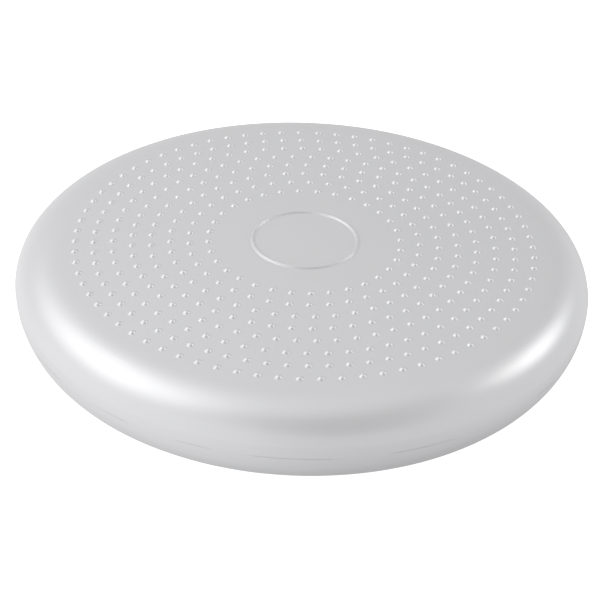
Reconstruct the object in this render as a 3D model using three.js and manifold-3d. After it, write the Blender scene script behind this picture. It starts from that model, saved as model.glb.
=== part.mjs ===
// Wobble cushion: a round, air-filled disc of soft PVC for balance exercise.
// Two moulded half skins meet in a welded seam round the rim. A small valve in
// the rear of the seam holds a self-closing core and a pull-out stopper.
// Millimetres, Z up, floor at z = 0, disc axis on the Z axis, valve towards +Y.

import * as THREE from 'three';
import { mergeVertices } from 'three/addons/utils/BufferGeometryUtils.js';
import Module from 'manifold-3d';

const wasm = await Module();
wasm.setup();

// Overall form
const DISC_RADIUS = 165;
const SHOULDER_WIDTH = 25.6;
const EQUATOR_HEIGHT = 32.4;
const UPPER_RISE = 18.8;
const CROWN_HEIGHT = 5.5;
const WALL = 3.3;

// Seam between the half skins
const SEAM_HEIGHT = 24.5;
const SEAM_WIDTH = 1;
const WELD_LIP = 1.6;
const WELD_BEAD = 0.1;
const WELD_CLEARANCE = 0.8;
const FIT_GAP = 0.3;

// Raised circle in the middle of the upper face
const CIRCLE_RADIUS = 30.1;
const CIRCLE_WIDTH = 2.4;
const CIRCLE_HEIGHT = 0.9;

// Valve, centred on the seam
const VALVE_HOLE_RADIUS = 5.3;
const SEAT_RADIUS = 5;
const SEAT_FACE = 164.1;
const SEAT_CHAMFER = 0.4;
const SEAT_INNER_END = 148;
const FLANGE_RADIUS = 8.5;
const FLANGE_OUTER = 157;
const FLANGE_THICKNESS = 2;
const BORE_RADIUS = 2.5;
const MOUTH_RADIUS = 4;
const MOUTH_DEPTH = 1.9;
const CORE_POCKET_RADIUS = 3.8;
const CORE_POCKET_END = 156;
const CORE_RADIUS = 3.5;
const CORE_HOLE_RADIUS = 0.4;
const CORE_LENGTH = 7;
const CORE_TIP_RADIUS = 1.6;
const CORE_FUNNEL = 1;
const STOPPER_HEAD_RADIUS = 3.7;
const STOPPER_HEAD_THICKNESS = 1.5;
const STOPPER_STEM_RADIUS = 2.2;
const STOPPER_STEM_LENGTH = 5.5;
const STOPPER_TIP_RADIUS = 1.6;
const STOPPER_TIP_LENGTH = 0.8;
const STOPPER_FACE_RADIUS = 3.2;
const STOPPER_DOME = 0.4;

// Mesh resolution
const DISC_SEGMENTS = 72;
const VALVE_SEGMENTS = 28;
const SHOULDER_STEPS = 8;
const CROWN_RADII = [118, 92, 62];

const FLAT_RADIUS = DISC_RADIUS - SHOULDER_WIDTH;
const SHOULDER_HEIGHT = EQUATOR_HEIGHT + UPPER_RISE;

// A closed geometry as a manifold-3d solid, without the triangles that collapse on an axis.
function solidOf(geometry) {
  geometry.deleteAttribute('normal');
  geometry.deleteAttribute('uv');
  const merged = mergeVertices(geometry);
  const index = merged.getIndex().array;
  const tris = [];
  for (let i = 0; i < index.length; i += 3) {
    const [a, b, c] = index.slice(i, i + 3);
    if (a !== b && b !== c && c !== a) tris.push(a, b, c);
  }
  return new wasm.Manifold(new wasm.Mesh({
    numProp: 3,
    vertProperties: merged.getAttribute('position').array,
    triVerts: new Uint32Array(tris),
  }));
}

// The geometry of a solid, for a mesh.
function geometryOf(solid) {
  const made = solid.getMesh();
  const geometry = new THREE.BufferGeometry();
  geometry.setAttribute('position', new THREE.BufferAttribute(made.vertProperties, 3));
  geometry.setIndex(new THREE.BufferAttribute(made.triVerts, 1));
  return geometry;
}

// A solid of revolution about Y from a counter-clockwise outline of [radius, height] points.
function revolve(profile, segments) {
  const closed = profile[0][0] === 0 ? profile : [...profile, profile[0]];
  const points = closed.map(([radius, height]) => new THREE.Vector2(radius, height));
  return new THREE.LatheGeometry(points, segments);
}

// Points on the shoulder's ellipse, from one angle to another, in degrees from the equator.
function shoulder(rise, inset, fromAngle, toAngle) {
  const points = [];
  for (let i = 0; i <= SHOULDER_STEPS; i += 1) {
    const angle = THREE.MathUtils.degToRad(
      THREE.MathUtils.lerp(fromAngle, toAngle, i / SHOULDER_STEPS),
    );
    points.push([
      FLAT_RADIUS + (SHOULDER_WIDTH - inset) * Math.cos(angle),
      EQUATOR_HEIGHT + (rise - inset) * Math.sin(angle),
    ]);
  }
  return points;
}

// The angle at which a shoulder passes a height below the equator.
function angleAt(height, inset) {
  const drop = (EQUATOR_HEIGHT - height) / (EQUATOR_HEIGHT - inset);
  return -THREE.MathUtils.radToDeg(Math.asin(drop));
}

// Height of the domed upper face at a radius.
function crown(radius) {
  return SHOULDER_HEIGHT + CROWN_HEIGHT * (1 - (radius / FLAT_RADIUS) ** 2);
}

function lowerProfile() {
  const edge = SEAM_HEIGHT - SEAM_WIDTH / 2;
  return [
    [0, 0],
    ...shoulder(EQUATOR_HEIGHT, 0, -90, angleAt(edge, 0)),
    ...shoulder(EQUATOR_HEIGHT, WALL, angleAt(edge, WALL), -90),
    [0, WALL],
  ];
}

function upperProfile() {
  const edge = SEAM_HEIGHT + SEAM_WIDTH / 2;
  const half = CIRCLE_WIDTH / 2;
  const outer = CIRCLE_RADIUS + half;
  const inner = CIRCLE_RADIUS - half;
  return [
    [0, SHOULDER_HEIGHT + CROWN_HEIGHT - WALL],
    ...[...CROWN_RADII].reverse().map((radius) => [radius, crown(radius) - WALL]),
    ...shoulder(UPPER_RISE, WALL, 90, 0),
    ...shoulder(EQUATOR_HEIGHT, WALL, 0, angleAt(edge, WALL)).slice(-1),
    ...shoulder(EQUATOR_HEIGHT, 0, angleAt(edge, 0), 0).filter((_, i) => i % 4 === 0),
    ...shoulder(UPPER_RISE, 0, 0, 90).slice(1),
    ...CROWN_RADII.map((radius) => [radius, crown(radius)]),
    [outer, crown(outer)],
    [CIRCLE_RADIUS + half / 2, crown(CIRCLE_RADIUS) + CIRCLE_HEIGHT],
    [CIRCLE_RADIUS - half / 2, crown(CIRCLE_RADIUS) + CIRCLE_HEIGHT],
    [inner, crown(inner)],
    [0, crown(0)],
  ];
}

// The weld fills the seam and swells into a small lip inside the wall.
function weldProfile() {
  const top = SEAM_HEIGHT + SEAM_WIDTH / 2 - FIT_GAP / 2;
  const bottom = SEAM_HEIGHT - SEAM_WIDTH / 2 + FIT_GAP / 2;
  const outer = FLAT_RADIUS + SHOULDER_WIDTH * Math.cos(
    THREE.MathUtils.degToRad(angleAt(SEAM_HEIGHT, 0)),
  );
  const inner = outer - WALL - WELD_CLEARANCE;
  return [
    [inner - WELD_LIP, SEAM_HEIGHT - WELD_LIP],
    [inner, SEAM_HEIGHT - WELD_LIP],
    [inner, bottom],
    [outer, bottom],
    [outer + WELD_BEAD, SEAM_HEIGHT],
    [outer, top],
    [inner, top],
    [inner, SEAM_HEIGHT + WELD_LIP],
    [inner - WELD_LIP, SEAM_HEIGHT + WELD_LIP],
  ];
}

// Outlines of the valve's pieces, with heights measured along +Y from the disc's axis.
function seatProfile() {
  const flangeInner = FLANGE_OUTER - FLANGE_THICKNESS;
  return [
    [CORE_POCKET_RADIUS, SEAT_INNER_END],
    [SEAT_RADIUS, SEAT_INNER_END],
    [SEAT_RADIUS, flangeInner],
    [FLANGE_RADIUS, flangeInner],
    [FLANGE_RADIUS, FLANGE_OUTER],
    [SEAT_RADIUS, FLANGE_OUTER],
    [SEAT_RADIUS, SEAT_FACE - SEAT_CHAMFER],
    [SEAT_RADIUS - SEAT_CHAMFER, SEAT_FACE],
    [MOUTH_RADIUS, SEAT_FACE],
    [MOUTH_RADIUS, SEAT_FACE - MOUTH_DEPTH],
    [BORE_RADIUS, SEAT_FACE - MOUTH_DEPTH],
    [BORE_RADIUS, CORE_POCKET_END],
    [CORE_POCKET_RADIUS, CORE_POCKET_END],
  ];
}

function coreProfile() {
  const outer = CORE_POCKET_END - FIT_GAP;
  const inner = outer - CORE_LENGTH;
  return [
    [CORE_HOLE_RADIUS, inner],
    [CORE_TIP_RADIUS, inner],
    [CORE_RADIUS, inner + CORE_LENGTH / 2],
    [CORE_RADIUS, outer],
    [CORE_RADIUS - CORE_FUNNEL, outer],
    [CORE_HOLE_RADIUS, outer - CORE_FUNNEL],
  ];
}

function stopperProfile() {
  const base = SEAT_FACE - MOUTH_DEPTH + FIT_GAP;
  const tip = base - STOPPER_STEM_LENGTH;
  const face = base + STOPPER_HEAD_THICKNESS;
  return [
    [0, tip],
    [STOPPER_TIP_RADIUS, tip],
    [STOPPER_STEM_RADIUS, tip + STOPPER_TIP_LENGTH],
    [STOPPER_STEM_RADIUS, base],
    [STOPPER_HEAD_RADIUS, base],
    [STOPPER_HEAD_RADIUS, face - STOPPER_DOME],
    [STOPPER_FACE_RADIUS, face],
    [0, face + STOPPER_DOME / 2],
  ];
}

const SILVER_PVC = 0xc8c8ca;
const GREY_PVC = 0xb0b0b3;
const BLACK_RUBBER = 0x202022;

function named(name, geometry, color, roughness) {
  const mesh = new THREE.Mesh(geometry, new THREE.MeshStandardMaterial({ color, roughness }));
  mesh.name = name;
  return mesh;
}

// The bore through the rim that the valve sits in.
const holeGeometry = new THREE.CylinderGeometry(
  VALVE_HOLE_RADIUS,
  VALVE_HOLE_RADIUS,
  2 * (DISC_RADIUS - SEAT_INNER_END),
  VALVE_SEGMENTS,
);
holeGeometry.translate(0, DISC_RADIUS, SEAM_HEIGHT);
const valveHole = solidOf(holeGeometry);

// A ring or skin about the disc's axis, with the valve's hole cut through it.
function discPiece(profile) {
  const whole = revolve(profile, DISC_SEGMENTS).rotateX(Math.PI / 2);
  return geometryOf(solidOf(whole).subtract(valveHole));
}

// A turned piece of the valve, whose axis is already along +Y.
function valvePiece(profile) {
  return geometryOf(solidOf(revolve(profile, VALVE_SEGMENTS)));
}

const cushion = new THREE.Group();
cushion.name = 'wobble_cushion';
cushion.add(named('lower_skin', discPiece(lowerProfile()), SILVER_PVC, 0.35));
cushion.add(named('upper_skin', discPiece(upperProfile()), SILVER_PVC, 0.35));
cushion.add(named('seam_weld', discPiece(weldProfile()), GREY_PVC, 0.4));

const valve = new THREE.Group();
valve.position.z = SEAM_HEIGHT;
valve.add(named('valve_seat', valvePiece(seatProfile()), GREY_PVC, 0.4));
valve.add(named('valve_core', valvePiece(coreProfile()), BLACK_RUBBER, 0.8));
valve.add(named('valve_stopper', valvePiece(stopperProfile()), GREY_PVC, 0.4));
cushion.add(valve);

export default cushion;
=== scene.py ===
"""Wobble cushion: the looks of the air-filled balance disc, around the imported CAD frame."""

from math import atan2, cos, hypot, pi, radians, sin, sqrt

import bmesh
import bpy
import numpy as np
from mathutils import Matrix, Vector, noise


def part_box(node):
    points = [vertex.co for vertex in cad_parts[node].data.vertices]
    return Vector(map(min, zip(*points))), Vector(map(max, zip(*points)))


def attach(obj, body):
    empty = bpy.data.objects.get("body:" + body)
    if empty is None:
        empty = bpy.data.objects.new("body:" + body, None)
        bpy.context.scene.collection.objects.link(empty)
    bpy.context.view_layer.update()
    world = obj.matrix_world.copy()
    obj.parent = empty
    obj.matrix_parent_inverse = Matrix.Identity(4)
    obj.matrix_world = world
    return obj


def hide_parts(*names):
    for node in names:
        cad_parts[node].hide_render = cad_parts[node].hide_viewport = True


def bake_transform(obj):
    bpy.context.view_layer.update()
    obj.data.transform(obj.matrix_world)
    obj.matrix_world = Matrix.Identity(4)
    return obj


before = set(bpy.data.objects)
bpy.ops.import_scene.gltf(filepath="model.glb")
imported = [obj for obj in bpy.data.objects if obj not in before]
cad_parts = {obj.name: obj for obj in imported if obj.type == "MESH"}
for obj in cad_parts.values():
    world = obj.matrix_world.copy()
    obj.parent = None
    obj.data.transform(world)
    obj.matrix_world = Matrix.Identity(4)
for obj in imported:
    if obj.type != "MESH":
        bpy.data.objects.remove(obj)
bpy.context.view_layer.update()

MM = 0.001

# ---------------------------------------------------------------- the cushion's form
# The outline is a domed face, a rounded shoulder, the widest ring and a flat foot. TOP is the
# middle of the face, which the raised circle's crest overtops a little.
CIRCLE_RISE = 0.64 * MM
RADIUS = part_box("upper_skin")[1].x
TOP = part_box("upper_skin")[1].z - CIRCLE_RISE
SEAM_Z = sum(corner.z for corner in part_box("seam_weld")) / 2
SHOULDER_WIDTH = 25.6 * MM
EQUATOR_Z = 32.4 * MM
SHOULDER_Z = 51.2 * MM
WALL = 3.3 * MM
FLAT_RADIUS = RADIUS - SHOULDER_WIDTH
FACE_STEPS = 140
SHOULDER_STEPS = 46
RELAX_PASSES = 40
RIM_SEGMENTS = 288
INNER_SEGMENTS = 96
SHARP_ANGLE = radians(40)

# Waves of the inflated skin: height and number per metre
WAVES = ((0.10 * MM, 22.0), (0.05 * MM, 60.0))

# The gap between the halves at the seam, which the weld's bead fills. The skins' outlines
# stop this far from the seam and the widest ring before the edge itself.
SEAM_GAP = 0.07 * MM
SEAM_CLEAR = 0.6 * MM
EQUATOR_CLEAR = 0.3 * MM

# The moulded pattern sits a little off the disc's centre, and the rim brings it back
PATTERN_X = 0.8 * MM
PATTERN_Y = 2.35 * MM
PATTERN_END = 133 * MM
RIM_START = 150 * MM

# Raised circle in the middle of the upper face: a flat bead with sloping sides
CIRCLE_RADIUS = 30.1 * MM
CIRCLE_HALF_WIDTH = 1.25 * MM
CIRCLE_FLAT = 0.45 * MM
CIRCLE_HEIGHT = 0.9 * MM
CIRCLE_STEPS = 17
MIDDLE_SEGMENTS = 192
MIDDLE_RADII = (4.0, 8.0, 12.0, 16.0, 20.0, 24.0, 27.0, 28.4)
AROUND_CIRCLE_RADII = (31.8, 34.0, 37.0, 40.5, 44.5, 48.5)

# Studs of the upper face: evenly spaced rings, each with its number of studs and the angle
# of its first one in degrees. SPARE is half the strip left between two rings' cells.
FIRST_RING = 55.2 * MM
RING_PITCH = 10.95 * MM
UPPER_RINGS = (
    (32, 4.6),
    (37, 0.8),
    (43, -0.9),
    (49, 1.9),
    (56, 4.9),
    (60, 1.7),
    (68, 2.0),
    (73, 3.6),
)
UPPER_STUD = {"dome": 2.2 * MM, "edge": 1.8 * MM, "foot": 2.35 * MM}
UPPER_SPARE = 0.35 * MM
STUDS_CLEAR = 0.6 * MM
INNER_CROWN_RADII = (118, 92, 62, 30)

# Larger studs under the cushion, inside the flat foot. Each ring is turned by LOWER_TURN, in
# radians, from the one inside it.
FOOT_INNER = 131 * MM
RECESS_RADIUS = 126 * MM
RECESS_DEPTH = 1.6 * MM
LOWER_PITCH = 19 * MM
LOWER_FIRST_RING = 20 * MM
LOWER_RING_COUNT = 6
LOWER_TURN = 0.3
LOWER_STUD = {"dome": 5.2 * MM, "edge": 3.1 * MM, "foot": 4.4 * MM}
LOWER_SPARE = 0.4 * MM
LOWER_CLEAR = 0.8 * MM
LOWER_SEGMENTS = 48
LOWER_MIDDLE_RADII = (4, 7, 9.5)
INNER_FLOOR_RADIUS = 60 * MM

# A stud's cell has this many points on each of its four sides, and closes in these loops,
# as shares of the radius of the stud's foot
STUD_SIDE = 5
STUD_LOOPS = (1.1, 1.0, 0.91, 0.83, 0.75, 0.62, 0.46, 0.25)


def ease(t):
    """A smooth step from 0 to 1."""
    t = min(max(t, 0.0), 1.0)
    return t * t * (3 - 2 * t)


class Sheet:
    """Vertices and faces of a surface made of rings, from its middle outwards."""

    def __init__(self):
        self.verts = []
        self.faces = []

    def add(self, points):
        start = len(self.verts)
        self.verts.extend(points)
        return list(range(start, len(self.verts)))

    def fan(self, centre, ring):
        for i, v in enumerate(ring):
            self.faces.append((centre, v, ring[(i + 1) % len(ring)]))

    def bridge(self, inner, outer):
        """Quads between two rings with the same number of points."""
        n = len(inner)
        for i in range(n):
            j = (i + 1) % n
            self.faces.append((inner[i], outer[i], outer[j], inner[j]))

    def zip(self, inner, outer):
        """Triangles between two rings with different numbers of points, by their angles."""

        def turns(ring):
            angles = [atan2(self.verts[v][1], self.verts[v][0]) % (2 * pi) for v in ring]
            first = angles.index(min(angles))
            order = ring[first:] + ring[:first]
            angles = angles[first:] + angles[:first]
            return order + order[:1], angles + [angles[0] + 2 * pi]

        a, a_turn = turns(inner)
        b, b_turn = turns(outer)
        i = j = 0
        while i < len(a) - 1 or j < len(b) - 1:
            inner_next = i < len(a) - 1 and (
                j == len(b) - 1 or a_turn[i + 1] <= b_turn[j + 1]
            )
            if inner_next:
                self.faces.append((a[i], b[j], a[i + 1]))
                i += 1
            else:
                self.faces.append((a[i], b[j], b[j + 1]))
                j += 1

    def join(self, previous, ring):
        """Faces between two rings, of which one may be a single point. Returns the second."""
        if len(previous) == 1:
            self.fan(previous[0], ring)
        elif len(ring) == 1:
            self.fan(ring[0], previous)
        elif len(previous) == len(ring):
            self.bridge(previous, ring)
        else:
            self.zip(previous, ring)
        return ring


def circle_points(radius, z, count):
    angles = [2 * pi * i / count for i in range(count)]
    return [(radius * cos(a), radius * sin(a), z) for a in angles]


def smooth_line(points, passes):
    """Relaxes the points between the two ends of a line."""
    line = np.array(points, float)
    for _ in range(passes):
        line[1:-1] += 0.5 * ((line[:-2] + line[2:]) / 2 - line[1:-1])
    return line


def upper_outline():
    """Radius and height from the middle of the upper face to the widest ring."""
    crown = TOP - SHOULDER_Z
    line = [
        (r, SHOULDER_Z + crown * (1 - (r / FLAT_RADIUS) ** 2))
        for r in np.linspace(0, FLAT_RADIUS, FACE_STEPS, endpoint=False)
    ]
    rise = SHOULDER_Z - EQUATOR_Z
    for angle in np.radians(np.linspace(90, 0, SHOULDER_STEPS)):
        line.append((FLAT_RADIUS + SHOULDER_WIDTH * cos(angle), EQUATOR_Z + rise * sin(angle)))
    return line


def lower_outline():
    """Radius and height from the widest ring down to the flat foot and up into the recess."""
    line = []
    for angle in np.radians(np.linspace(0, 90, SHOULDER_STEPS)):
        line.append((FLAT_RADIUS + SHOULDER_WIDTH * cos(angle), EQUATOR_Z * (1 - sin(angle))))
    line += [(r, 0.0) for r in np.linspace(FLAT_RADIUS, FOOT_INNER, 8)[1:]]
    for t in np.linspace(0, 1, 7)[1:]:
        line.append((FOOT_INNER + t * (RECESS_RADIUS - FOOT_INNER), RECESS_DEPTH * ease(t)))
    return line


UPPER_LINE = smooth_line(upper_outline(), RELAX_PASSES)
LOWER_LINE = np.array(lower_outline(), float)


def upper_z(radius):
    return float(np.interp(radius, UPPER_LINE[:, 0], UPPER_LINE[:, 1]))


def seam_radius():
    """Radius of the outer surface at the seam, below the widest ring."""
    turn = np.linspace(0, pi / 2, 200)
    heights = EQUATOR_Z * (1 - np.sin(turn))
    return FLAT_RADIUS + SHOULDER_WIDTH * cos(float(np.interp(-SEAM_Z, -heights, turn)))


SEAM_RADIUS = seam_radius()


def undulation(x, y, z):
    """A very slight unevenness of the inflated skin, in metres."""
    p = Vector((x, y, z))
    return sum(height * noise.noise(p * rate) for height, rate in WAVES)


# ---------------------------------------------------------------- studs
def stud_height(stud, distance):
    """Height of a stud: a spherical dome that runs out in a hollow fillet at its foot."""
    dome, edge, foot = stud["dome"], stud["edge"], stud["foot"]
    slope = edge / dome
    fillet = (foot - edge) / slope
    at_edge = fillet * (1 - sqrt(1 - slope * slope))
    if distance >= foot:
        return 0.0
    if distance >= edge:
        return fillet - sqrt(fillet * fillet - (foot - distance) ** 2)
    return at_edge + sqrt(dome**2 - distance**2) - sqrt(dome**2 - edge**2)


def stud_cell(sheet, stud, place, corners, middle):
    """Fills one cell of a studded band with loops that close on the stud's top.

    corners are the cell's boundary vertices in order, and middle is (radius, angle)."""
    radius, angle = middle
    cx, cy = radius * cos(angle), radius * sin(angle)
    turns = [atan2(sheet.verts[v][1] - cy, sheet.verts[v][0] - cx) for v in corners]
    outer = corners
    for share in STUD_LOOPS:
        reach = share * stud["foot"]
        height = stud_height(stud, reach)
        loop = sheet.add(
            [place(cx + reach * cos(t), cy + reach * sin(t), height) for t in turns]
        )
        sheet.bridge(loop, outer)
        outer = loop
    top = sheet.add([place(cx, cy, stud_height(stud, 0.0))])
    sheet.fan(top[0], outer)


def studded_band(sheet, stud, place, ring, inner_radius, outer_radius):
    """One ring of studs between two radii. Returns its inner and outer boundary rings."""
    radius, count, start = ring
    step = 2 * pi / count

    def boundary(at):
        angles = [start + (i / STUD_SIDE - 0.5) * step for i in range(count * STUD_SIDE)]
        return sheet.add([place(at * cos(a), at * sin(a), 0.0) for a in angles])

    inner = boundary(inner_radius)
    sides = []
    for i in range(1, STUD_SIDE):
        at = inner_radius + (outer_radius - inner_radius) * i / STUD_SIDE
        angles = [start + (k - 0.5) * step for k in range(count)]
        sides.append(sheet.add([place(at * cos(a), at * sin(a), 0.0) for a in angles]))
    outer = boundary(outer_radius)
    for k in range(count):
        following = (k + 1) % count
        low = [inner[(k * STUD_SIDE + i) % len(inner)] for i in range(STUD_SIDE + 1)]
        high = [outer[(k * STUD_SIDE + i) % len(outer)] for i in range(STUD_SIDE + 1)]
        right = [side[following] for side in sides]
        left = [side[k] for side in sides]
        # The loop runs along the inner arc, out, back along the outer arc and in again.
        corners = low + right + high[::-1] + left[::-1]
        stud_cell(sheet, stud, place, corners, (radius, start + k * step))
    return inner, outer


def studded_face(sheet, stud, rings, place, previous, spare):
    """Bands of studs joined by narrow strips. previous is the ring that they start from."""
    for k, (radius, count, start) in enumerate(rings):
        below = rings[k - 1][0] if k else 2 * radius - rings[k + 1][0]
        above = rings[k + 1][0] if k + 1 < len(rings) else 2 * radius - rings[k - 1][0]
        inner_radius = (below + radius) / 2 + spare
        outer_radius = (above + radius) / 2 - spare
        inner, outer = studded_band(
            sheet, stud, place, (radius, count, start), inner_radius, outer_radius
        )
        sheet.zip(previous, inner)
        previous = outer
    return previous


# ---------------------------------------------------------------- the two half skins
def shell_object(name, sheet):
    mesh = bpy.data.meshes.new(name)
    mesh.from_pydata(sheet.verts, [], sheet.faces)
    obj = bpy.data.objects.new(name, mesh)
    bpy.context.scene.collection.objects.link(obj)
    bm = bmesh.new()
    bm.from_mesh(mesh)
    bmesh.ops.recalc_face_normals(bm, faces=bm.faces)
    bm.to_mesh(mesh)
    bm.free()
    mesh.shade_smooth()
    mesh.set_sharp_from_angle(angle=SHARP_ANGLE)
    return obj


def rim_rings(sheet, line, count, previous, wavy=True):
    """Adds one ring for each point of an outline, joined to the one before."""
    for r, z in line:
        points = circle_points(r, z, count)
        if wavy:
            swells = [1 + undulation(*point) / r for point in points]
            points = [(x * s, y * s, height) for (x, y, height), s in zip(points, swells)]
        previous = sheet.join(previous, sheet.add(points))
    return previous


def make_upper_skin():
    sheet = Sheet()

    def place(x, y, height):
        """A point of the upper face, moved with the moulded pattern."""
        share = 1 - ease((hypot(x, y) - PATTERN_END) / (RIM_START - PATTERN_END))
        x += PATTERN_X * share
        y += PATTERN_Y * share
        return (x, y, upper_z(hypot(x, y)) + height + undulation(x, y, 0.0))

    def bead_height(r):
        slope = CIRCLE_HALF_WIDTH - CIRCLE_FLAT
        return CIRCLE_HEIGHT * (1 - ease((abs(r - CIRCLE_RADIUS) - CIRCLE_FLAT) / slope))

    def face_ring(radius, height, count):
        return sheet.add([place(x, y, height) for x, y, _ in circle_points(radius, 0, count)])

    bead = [CIRCLE_RADIUS + CIRCLE_HALF_WIDTH * t for t in np.linspace(-1, 1, CIRCLE_STEPS)]
    plain = list(np.array(MIDDLE_RADII) * MM)
    after = list(np.array(AROUND_CIRCLE_RADII) * MM)
    previous = sheet.add([place(0.0, 0.0, 0.0)])
    for r in plain + bead + after:
        previous = sheet.join(previous, face_ring(r, bead_height(r), MIDDLE_SEGMENTS))
    rings = [
        (FIRST_RING + k * RING_PITCH, count, radians(start))
        for k, (count, start) in enumerate(UPPER_RINGS)
    ]
    previous = studded_face(sheet, UPPER_STUD, rings, place, previous, UPPER_SPARE)
    edge_of_studs = (3 * rings[-1][0] - rings[-2][0]) / 2
    for r in UPPER_LINE[:, 0]:
        if edge_of_studs + STUDS_CLEAR < r < RIM_START:
            previous = sheet.join(previous, face_ring(r, 0.0, RIM_SEGMENTS))
    line = [(r, z) for r, z in UPPER_LINE if r >= RIM_START]
    line += [(r, z) for r, z in LOWER_LINE if SEAM_Z + SEAM_CLEAR < z < EQUATOR_Z - EQUATOR_CLEAR]
    line.append((SEAM_RADIUS, SEAM_Z + SEAM_GAP))
    previous = rim_rings(sheet, line, RIM_SEGMENTS, previous)
    inner = [(SEAM_RADIUS - WALL, SEAM_Z + SEAM_GAP)]
    rise = SHOULDER_Z - EQUATOR_Z - WALL
    width = SHOULDER_WIDTH - WALL
    for angle in np.radians(np.linspace(0, 90, 13)):
        inner.append((FLAT_RADIUS + width * cos(angle), EQUATOR_Z + rise * sin(angle)))
    inner += [(r, upper_z(r) - WALL) for r in np.array(INNER_CROWN_RADII) * MM]
    previous = rim_rings(sheet, inner, INNER_SEGMENTS, previous, wavy=False)
    sheet.join(previous, sheet.add([(0.0, 0.0, upper_z(0.0) - WALL)]))
    return shell_object("upper_skin_studded", sheet)


def make_lower_skin():
    sheet = Sheet()

    def place(x, y, height):
        return (x, y, RECESS_DEPTH - height + undulation(x, y, 1.0))

    previous = sheet.add([place(0.0, 0.0, 0.0)])
    for r in LOWER_MIDDLE_RADII:
        points = circle_points(r * MM, 0, LOWER_SEGMENTS)
        previous = sheet.join(previous, sheet.add([place(x, y, 0.0) for x, y, _ in points]))
    rings = []
    for k in range(LOWER_RING_COUNT):
        radius = LOWER_FIRST_RING + k * LOWER_PITCH
        rings.append((radius, round(2 * pi * radius / LOWER_PITCH), LOWER_TURN * k))
    previous = studded_face(sheet, LOWER_STUD, rings, place, previous, LOWER_SPARE)
    last = hypot(*sheet.verts[previous[0]][:2])
    line = [
        (r, z) for r, z in LOWER_LINE[::-1] if z < SEAM_Z - SEAM_CLEAR and r > last + LOWER_CLEAR
    ]
    line.append((SEAM_RADIUS, SEAM_Z - SEAM_GAP))
    previous = rim_rings(sheet, line, RIM_SEGMENTS, previous)
    inner = [(SEAM_RADIUS - WALL, SEAM_Z - SEAM_GAP)]
    width = SHOULDER_WIDTH - WALL
    for angle in np.radians(np.linspace(20, 90, 11)):
        z = EQUATOR_Z - (EQUATOR_Z - WALL) * sin(angle)
        inner.append((FLAT_RADIUS + width * cos(angle), z))
    recess = WALL + RECESS_DEPTH
    inner += [(FOOT_INNER, WALL), (RECESS_RADIUS, recess), (INNER_FLOOR_RADIUS, recess)]
    previous = rim_rings(sheet, inner, INNER_SEGMENTS, previous, wavy=False)
    sheet.join(previous, sheet.add([(0.0, 0.0, recess)]))
    return shell_object("lower_skin_moulded", sheet)


# ---------------------------------------------------------------- turned pieces
# The weld's section, in metres: a lip inside the wall, a thin web and the bead outside
WELD_INSET = 3.8 * MM
WELD_LIP_WIDTH = 1.4 * MM
WELD_LIP_HEIGHT = 1.5 * MM
WELD_WEB = 0.04 * MM
WELD_WEB_END = 0.6 * MM
BEAD_DEPTH = 0.14 * MM
BEAD_HEIGHT = 0.42 * MM
BEAD_STEPS = 15
WELD_SEGMENTS = 720

# Where the bead sinks below the skin: the noise's rate and place round the rim, the level up
# to which it stays flush, how fast it sinks and how deep it gets
SINK_RATE = 6.0
SINK_PLACE = 244.8
SINK_LEVEL = 0.05
SINK_SLOPE = 1.5 * MM
SINK_DEPTH = 0.22 * MM

# The valve's hole, which starts and ends at these distances from the disc's axis
VALVE_SEGMENTS = 64
HOLE_RADIUS = 5.3 * MM
HOLE_FROM = 140 * MM
HOLE_TO = 180 * MM

# The valve's outlines and the rounding of their corners, in mm: radius from the valve's axis
# and distance from the disc's axis
SEAT_ROUNDING = 0.35
STOPPER_ROUNDING = 0.3
SEAT_FACE = 164.1
SEAT_FLOOR = SEAT_FACE - 1.9
SEAT_LOOP = (
    (3.8, 148.0),
    (5.0, 148.0),
    (5.0, 155.0),
    (8.5, 155.0),
    (8.5, 157.0),
    (5.0, 157.0),
    (5.0, SEAT_FACE),
    (4.0, SEAT_FACE),
    (4.0, SEAT_FLOOR),
    (2.5, SEAT_FLOOR),
    (2.5, 156.0),
    (3.8, 156.0),
)
STOPPER_BASE = SEAT_FACE - 1.6
STOPPER_LOOP = (
    (0.0, STOPPER_BASE - 5.5),
    (1.5, STOPPER_BASE - 5.5),
    (2.2, STOPPER_BASE - 4.6),
    (1.95, STOPPER_BASE - 3.9),
    (1.95, STOPPER_BASE - 2.6),
    (2.2, STOPPER_BASE - 2.1),
    (1.95, STOPPER_BASE - 1.5),
    (1.95, STOPPER_BASE),
    (3.7, STOPPER_BASE),
    (3.7, STOPPER_BASE + 1.4),
    (2.6, STOPPER_BASE + 1.55),
    (2.3, STOPPER_BASE + 1.2),
    (0.0, STOPPER_BASE + 1.1),
)


def turned(name, loop, count, place):
    """A closed ring or plug: an outline turned about an axis. place maps it to the row frame."""
    sheet = Sheet()
    rings = []
    for r, h in loop:
        points = count if r else 1
        rings.append(sheet.add([place(r, h, 2 * pi * i / points) for i in range(points)]))
    for a, b in zip(rings, rings[1:] + rings[:1]):
        if len(a) + len(b) > 2:
            sheet.join(a, b)
    return shell_object(name, sheet)


def about_disc(r, h, angle):
    return (r * cos(angle), r * sin(angle), h)


def about_valve(r, h, angle):
    return (r * cos(angle), h, SEAM_Z + r * sin(angle))


def rounded(loop, radius, steps=3):
    """The outline in mm with its corners rounded. Points on the axis stay."""
    out = []
    for i, p in enumerate(loop):
        p = Vector(p)
        before, after = Vector(loop[i - 1]), Vector(loop[(i + 1) % len(loop)])
        if p.x == 0:
            out.append(p)
            continue
        cut = min(radius, (before - p).length * 0.45, (after - p).length * 0.45)
        a = p + (before - p).normalized() * cut
        b = p + (after - p).normalized() * cut
        for t in np.linspace(0, 1, steps + 1):
            out.append(a * (1 - t) ** 2 + p * 2 * t * (1 - t) + b * t * t)
    return [(q.x * MM, q.y * MM) for q in out]


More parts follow.
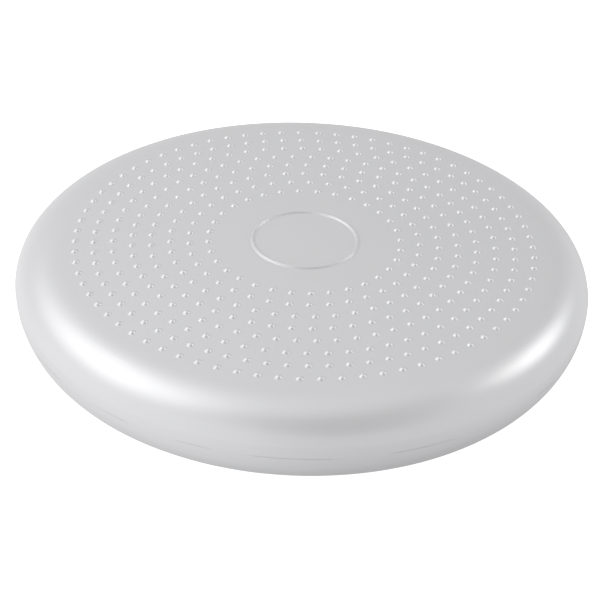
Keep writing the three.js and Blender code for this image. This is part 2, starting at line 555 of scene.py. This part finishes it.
def make_seam_weld():
    """The weld that joins the halves. Its bead is flush with the skin, and sinks in places
    along the rim, where it shows."""
    inner = SEAM_RADIUS - WELD_INSET
    web_end = SEAM_RADIUS - WELD_WEB_END
    bead = [
        (SEAM_RADIUS - BEAD_DEPTH * (1 - cos(a)), SEAM_Z + BEAD_HEIGHT * sin(a))
        for a in np.radians(np.linspace(-90, 90, BEAD_STEPS))
    ]
    loop = [
        (inner - WELD_LIP_WIDTH, SEAM_Z - WELD_LIP_HEIGHT),
        (inner, SEAM_Z - WELD_LIP_HEIGHT),
        (inner, SEAM_Z - WELD_WEB),
        (web_end, SEAM_Z - WELD_WEB),
        *bead,
        (web_end, SEAM_Z + WELD_WEB),
        (inner, SEAM_Z + WELD_WEB),
        (inner, SEAM_Z + WELD_LIP_HEIGHT),
        (inner - WELD_LIP_WIDTH, SEAM_Z + WELD_LIP_HEIGHT),
    ]

    def place(radius, h, angle):
        if radius > web_end:
            at = Vector((SINK_RATE * cos(angle), SINK_RATE * sin(angle), SINK_PLACE))
            sink = max(noise.noise(at) - SINK_LEVEL, 0.0) * SINK_SLOPE
            radius -= min(sink, SINK_DEPTH)
        return about_disc(radius, h, angle)

    return turned("seam_weld_bead", loop, WELD_SEGMENTS, place)


def make_hole(obj):
    """Cuts the valve's round hole through a skin or the weld."""
    cutter = turned(
        "valve_hole_cutter",
        [(0.0, HOLE_FROM), (HOLE_RADIUS, HOLE_FROM), (HOLE_RADIUS, HOLE_TO), (0.0, HOLE_TO)],
        VALVE_SEGMENTS,
        about_valve,
    )
    cut = obj.modifiers.new("hole", "BOOLEAN")
    cut.operation = "DIFFERENCE"
    cut.solver = "EXACT"
    cut.object = cutter
    evaluated = obj.evaluated_get(bpy.context.evaluated_depsgraph_get())
    made = bpy.data.meshes.new_from_object(evaluated)
    made.set_sharp_from_angle(angle=SHARP_ANGLE)
    obj.modifiers.clear()
    obj.data = made
    bpy.data.objects.remove(cutter)


def valve_piece(name, loop, rounding):
    return turned(name, rounded(loop, rounding), VALVE_SEGMENTS, about_valve)


upper_skin = make_upper_skin()
lower_skin = make_lower_skin()
seam_weld = make_seam_weld()
for cut_piece in (upper_skin, lower_skin, seam_weld):
    make_hole(cut_piece)
valve_seat = valve_piece("valve_seat_moulded", SEAT_LOOP, SEAT_ROUNDING)
stopper = valve_piece("valve_stopper_moulded", STOPPER_LOOP, STOPPER_ROUNDING)

# ---------------------------------------------------------------- materials
SILVER = (0.568, 0.568, 0.573)
WELD_GREY = (0.555, 0.555, 0.56)
VALVE_GREY = (0.45, 0.45, 0.46)
RUBBER_BLACK = (0.02, 0.02, 0.021)
# The metallic share of the PVC's pigment
PEARL = 0.35
COAT_ROUGHNESS = 0.14
ROUGHNESS_SPREAD = 1.12
CLOUD_SCALE = 9.0
SMEAR_SCALE = 40.0
GRAIN_SCALE = 1400.0
GRAIN_STRENGTH = 0.25
GRAIN_DEPTH = 0.02 * MM
DUST_SCALE = 600.0
DUST_LIGHTEN = 1.8

# Nearly all of a noise texture's values lie in this range
NOISE_RANGE = (0.15, 0.85)


def node_material(name):
    material = bpy.data.materials.new(name)
    material.use_nodes = True
    nodes = material.node_tree.nodes
    return material, nodes, material.node_tree.links, nodes["Principled BSDF"]


def noise_node(nodes, links, scale, detail):
    place = nodes.new("ShaderNodeTexCoord")
    texture = nodes.new("ShaderNodeTexNoise")
    texture.inputs["Scale"].default_value = scale
    texture.inputs["Detail"].default_value = detail
    links.new(place.outputs["Object"], texture.inputs["Vector"])
    return texture.outputs["Fac"]


def colour_range(nodes, links, source, low, high):
    """A colour between two, by a noise."""
    ramp = nodes.new("ShaderNodeValToRGB")
    for element, position, colour in zip(ramp.color_ramp.elements, NOISE_RANGE, (low, high)):
        element.position = position
        element.color = (*colour, 1)
    links.new(source, ramp.inputs["Fac"])
    return ramp.outputs["Color"]


def value_range(nodes, links, source, reach, levels, kind="LINEAR"):
    """A value between two levels, as the source goes through its own range."""
    node = nodes.new("ShaderNodeMapRange")
    node.interpolation_type = kind
    node.inputs["From Min"].default_value, node.inputs["From Max"].default_value = reach
    node.inputs["To Min"].default_value, node.inputs["To Max"].default_value = levels
    links.new(source, node.inputs["Value"])
    return node.outputs["Result"]


def combine(nodes, links, operation, first, second):
    node = nodes.new("ShaderNodeMath")
    node.operation = operation
    links.new(first, node.inputs[0])
    links.new(second, node.inputs[1])
    return node.outputs["Value"]


def pvc(name, colour, spread, roughness, coat):
    """Soft moulded PVC: slightly cloudy colour, a fine leathery grain and a soft gloss."""
    material, nodes, links, shader = node_material(name)
    low = tuple(c * (1 - spread) for c in colour)
    high = tuple(c * (1 + spread) for c in colour)
    cloud = noise_node(nodes, links, CLOUD_SCALE, 3.0)
    links.new(colour_range(nodes, links, cloud, low, high), shader.inputs["Base Color"])
    smear = noise_node(nodes, links, SMEAR_SCALE, 4.0)
    levels = (roughness, roughness * ROUGHNESS_SPREAD)
    links.new(value_range(nodes, links, smear, NOISE_RANGE, levels), shader.inputs["Roughness"])
    shader.inputs["Metallic"].default_value = PEARL
    shader.inputs["Coat Weight"].default_value = coat
    shader.inputs["Coat Roughness"].default_value = COAT_ROUGHNESS
    bump = nodes.new("ShaderNodeBump")
    bump.inputs["Strength"].default_value = GRAIN_STRENGTH
    bump.inputs["Distance"].default_value = GRAIN_DEPTH
    links.new(noise_node(nodes, links, GRAIN_SCALE, 2.0), bump.inputs["Height"])
    links.new(bump.outputs["Normal"], shader.inputs["Normal"])
    return material


def rubber(name, colour):
    material, nodes, links, shader = node_material(name)
    dust = noise_node(nodes, links, DUST_SCALE, 3.0)
    pale = tuple(c * DUST_LIGHTEN for c in colour)
    links.new(colour_range(nodes, links, dust, colour, pale), shader.inputs["Base Color"])
    links.new(value_range(nodes, links, dust, NOISE_RANGE, (0.6, 0.8)), shader.inputs["Roughness"])
    return material


skin_pvc = pvc("silver_pvc_skin", SILVER, spread=0.012, roughness=0.28, coat=0.0)
weld_pvc = pvc("silver_pvc_weld", WELD_GREY, spread=0.02, roughness=0.30, coat=0.0)
valve_pvc = pvc("grey_pvc_valve", VALVE_GREY, spread=0.02, roughness=0.35, coat=0.2)
core_rubber = rubber("black_rubber_core", RUBBER_BLACK)


def dress(piece, material, node):
    piece.data.materials.clear()
    piece.data.materials.append(material)
    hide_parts(node)


dress(upper_skin, skin_pvc, "upper_skin")
dress(lower_skin, skin_pvc, "lower_skin")
dress(seam_weld, weld_pvc, "seam_weld")
dress(valve_seat, valve_pvc, "valve_seat")
dress(stopper, valve_pvc, "valve_stopper")
for material_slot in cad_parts["valve_core"].material_slots:
    material_slot.material = core_rubber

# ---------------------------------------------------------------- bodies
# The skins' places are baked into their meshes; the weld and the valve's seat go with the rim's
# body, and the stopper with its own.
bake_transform(lower_skin)
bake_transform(upper_skin)
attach(seam_weld, "rim")
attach(valve_seat, "rim")
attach(stopper, "stopper")

# ---------------------------------------------------------------- floor, light and camera
CENTRE = Vector((0, 0, EQUATOR_Z))

# Outline of the floor and of the wall that it curves up into
COVE = ((4.0, 0.0), (4.6, 0.1), (5.0, 0.4), (5.3, 1.0), (5.4, 2.0), (5.4, 5.0))
COVE_SEGMENTS = 96
FLOOR_DROP = 0.2 * MM
FLOOR_GREYS = ((0.49, 0.49, 0.49), (0.51, 0.51, 0.51))
FLOOR_GLOW = 0.9

# Softboxes: azimuth and elevation in degrees, half width and half height as tangents of the
# angles seen from the cushion, radiance, and the share of each half side that fades out
BOX_DISTANCE = 2.5
SOFTBOXES = {
    "softbox_left": (169.3, 49.1, 0.922, 0.671, 1.714, 0.95),
    "softbox_right": (24.5, 34.7, 0.41, 0.363, 3.21, 0.93),
}

# The studio's white walls: azimuth and elevation of each one's middle in degrees, the cosine
# of the angle from it at which the wall has faded out, and its radiance
WALLS = (
    (-153.3, -5.4, -0.59, 1.25),
    (-3.4, 0.0, 0.01, 0.98),
    (113.5, 63.7, 0.645, 0.68),
    (88.8, -10.3, 0.48, 0.49),
)
AMBIENT = 0.10
WALL_TINT = (1.0, 1.0, 1.01, 1)
# The darker part above the front, given the same way, with the share of the light it keeps
SHADE = (-71.3, 42.1, 0.80, 0.66)

# The camera looks at the cushion from the front and above, a little rolled, and its small
# turns put the cushion off the middle of the picture. Degrees, metres and mm of focal length.
CAMERA_ELEVATION = 32.94
CAMERA_ROLL = 2.02
CAMERA_DROP = 0.504
CAMERA_LEFT = 0.048
CAMERA_DISTANCE = 1.502
CAMERA_LENS = 156
CAMERA_SENSOR = 36


def make_floor():
    """A white floor in a round cove. It glows, and has no part in the cushion's light."""
    sheet = Sheet()
    previous = sheet.add([(0.0, 0.0, 0.0)])
    for radius, height in COVE:
        previous = sheet.join(previous, sheet.add(circle_points(radius, height, COVE_SEGMENTS)))
    floor = shell_object("studio_floor", sheet)
    floor.location.z = -FLOOR_DROP
    floor.visible_glossy = False
    floor.visible_diffuse = False
    floor.visible_shadow = False
    material, nodes, links, shader = node_material("studio_floor_white")
    tint = noise_node(nodes, links, 2.0, 2.0)
    links.new(colour_range(nodes, links, tint, *FLOOR_GREYS), shader.inputs["Base Color"])
    shader.inputs["Roughness"].default_value = 0.9
    shader.inputs["Specular IOR Level"].default_value = 0.1
    shader.inputs["Emission Color"].default_value = (1, 1, 1, 1)
    shader.inputs["Emission Strength"].default_value = FLOOR_GLOW
    floor.data.materials.append(material)


def direction(azimuth, elevation):
    a, e = radians(azimuth), radians(elevation)
    return Vector((cos(e) * cos(a), cos(e) * sin(a), sin(e)))


def softbox(name, azimuth, elevation, half_width, half_height, radiance, fade):
    """A softbox that faces the cushion and fades towards its edges."""
    data = bpy.data.lights.new(name, "AREA")
    data.shape = "RECTANGLE"
    data.size = 2 * half_width * BOX_DISTANCE
    data.size_y = 2 * half_height * BOX_DISTANCE
    data.energy = radiance * pi * data.size * data.size_y
    data.use_nodes = True
    nodes, links = data.node_tree.nodes, data.node_tree.links
    place = nodes.new("ShaderNodeNewGeometry")
    centred = nodes.new("ShaderNodeVectorMath")
    centred.operation = "SUBTRACT"
    centred.inputs[1].default_value = (0.5, 0.5, 0.0)
    links.new(place.outputs["Parametric"], centred.inputs[0])
    outward = nodes.new("ShaderNodeVectorMath")
    outward.operation = "ABSOLUTE"
    links.new(centred.outputs["Vector"], outward.inputs[0])
    split = nodes.new("ShaderNodeSeparateXYZ")
    links.new(outward.outputs["Vector"], split.inputs["Vector"])
    reach = ((1 - fade) / 2, 0.5)
    across, along = (
        value_range(nodes, links, split.outputs[axis], reach, (1.0, 0.0), "SMOOTHSTEP")
        for axis in "XY"
    )
    glow = combine(nodes, links, "MULTIPLY", across, along)
    links.new(glow, nodes["Emission"].inputs["Strength"])
    light = bpy.data.objects.new(name, data)
    toward = direction(azimuth, elevation)
    light.location = CENTRE + toward * BOX_DISTANCE
    light.rotation_euler = toward.to_track_quat("Z", "Y").to_euler()
    bpy.context.scene.collection.objects.link(light)


def make_world():
    """The white walls of the studio, each fading out smoothly with the angle from its middle."""
    world = bpy.data.worlds.new("studio")
    bpy.context.scene.world = world
    world.use_nodes = True
    nodes, links = world.node_tree.nodes, world.node_tree.links
    background = nodes["Background"]
    place = nodes.new("ShaderNodeTexCoord")

    def toward(azimuth, elevation, start, level, far_level):
        """A level that changes smoothly with the angle from one direction."""
        dot = nodes.new("ShaderNodeVectorMath")
        dot.operation = "DOT_PRODUCT"
        dot.inputs[1].default_value = direction(azimuth, elevation)
        links.new(place.outputs["Generated"], dot.inputs[0])
        cosine = dot.outputs["Value"]
        return value_range(nodes, links, cosine, (start, 1.0), (far_level, level), "SMOOTHSTEP")

    (azimuth, elevation, start, radiance), *others = WALLS
    walls = toward(azimuth, elevation, start, AMBIENT + radiance, AMBIENT)
    for wall in others:
        walls = combine(nodes, links, "ADD", walls, toward(*wall, 0.0))
    strength = combine(nodes, links, "MULTIPLY", walls, toward(*SHADE, 1.0))
    links.new(strength, background.inputs["Strength"])
    background.inputs["Color"].default_value = WALL_TINT


def make_camera():
    elevation = radians(CAMERA_ELEVATION)
    back = Vector((0, -cos(elevation), sin(elevation)))
    up = Vector((0, sin(elevation), cos(elevation)))
    turn = Matrix((Vector((1, 0, 0)), up, back)).transposed()
    turn = turn @ Matrix.Rotation(radians(CAMERA_ROLL), 3, "Z")
    turn = turn @ Matrix.Rotation(-radians(CAMERA_DROP), 3, "X")
    turn = turn @ Matrix.Rotation(radians(CAMERA_LEFT), 3, "Y")
    data = bpy.data.cameras.new("camera")
    data.sensor_width = CAMERA_SENSOR
    data.lens = CAMERA_LENS
    camera = bpy.data.objects.new("camera", data)
    place = Matrix.Translation(CENTRE + back * CAMERA_DISTANCE)
    camera.matrix_world = place @ turn.to_4x4()
    bpy.context.scene.collection.objects.link(camera)
    bpy.context.scene.camera = camera


make_floor()
make_world()
make_camera()
for box_name, box in SOFTBOXES.items():
    softbox(box_name, *box)
bpy.context.scene.view_settings.view_transform = "Standard"
